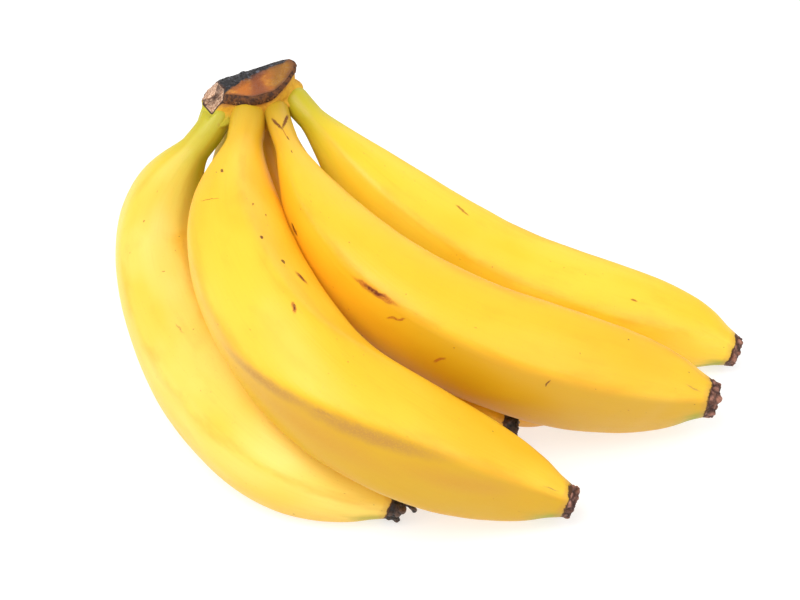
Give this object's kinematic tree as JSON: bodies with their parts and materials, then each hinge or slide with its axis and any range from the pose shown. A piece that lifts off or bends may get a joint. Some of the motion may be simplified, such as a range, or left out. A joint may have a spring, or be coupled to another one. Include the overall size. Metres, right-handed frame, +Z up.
{
  "type": "bunch of bananas",
  "caption": "Cluster of ripe yellow dessert bananas in two rows, hanging from one dried, knife-cut crown and lying on their bellies, with dark withered flower ends.",
  "frame": {"origin": "middle of the underside of the whole bunch's bounding box, on the table", "axes": "+Z up; +X towards the side that the flower ends point to; the crown is at the -X, +Y corner and the front row's bellies face -Y"},
  "size_m": [0.2138, 0.143, 0.0937],
  "materials": {
    "peel": "ripe banana peel: waxy and softly glossy, yellow with greenish necks and tips, tan ridges, small brown flecks and scratches",
    "dried_flower": "withered flower end: dark brown to black, corky and matt",
    "crown": "cut cushion tissue: orange-brown, dried black and rough on the knife cuts"
  },
  "bodies": {
    "root": {"banana_front_1": "peel", "banana_front_2": "peel", "banana_front_3": "peel", "banana_front_4": "peel", "banana_back_1": "peel", "banana_back_2": "peel", "dried_flower_front_1": "dried_flower", "dried_flower_front_2": "dried_flower", "dried_flower_front_3": "dried_flower", "dried_flower_front_4": "dried_flower", "dried_flower_back_1": "dried_flower", "dried_flower_back_2": "dried_flower", "crown": "crown"}
  },
  "joints": []
}
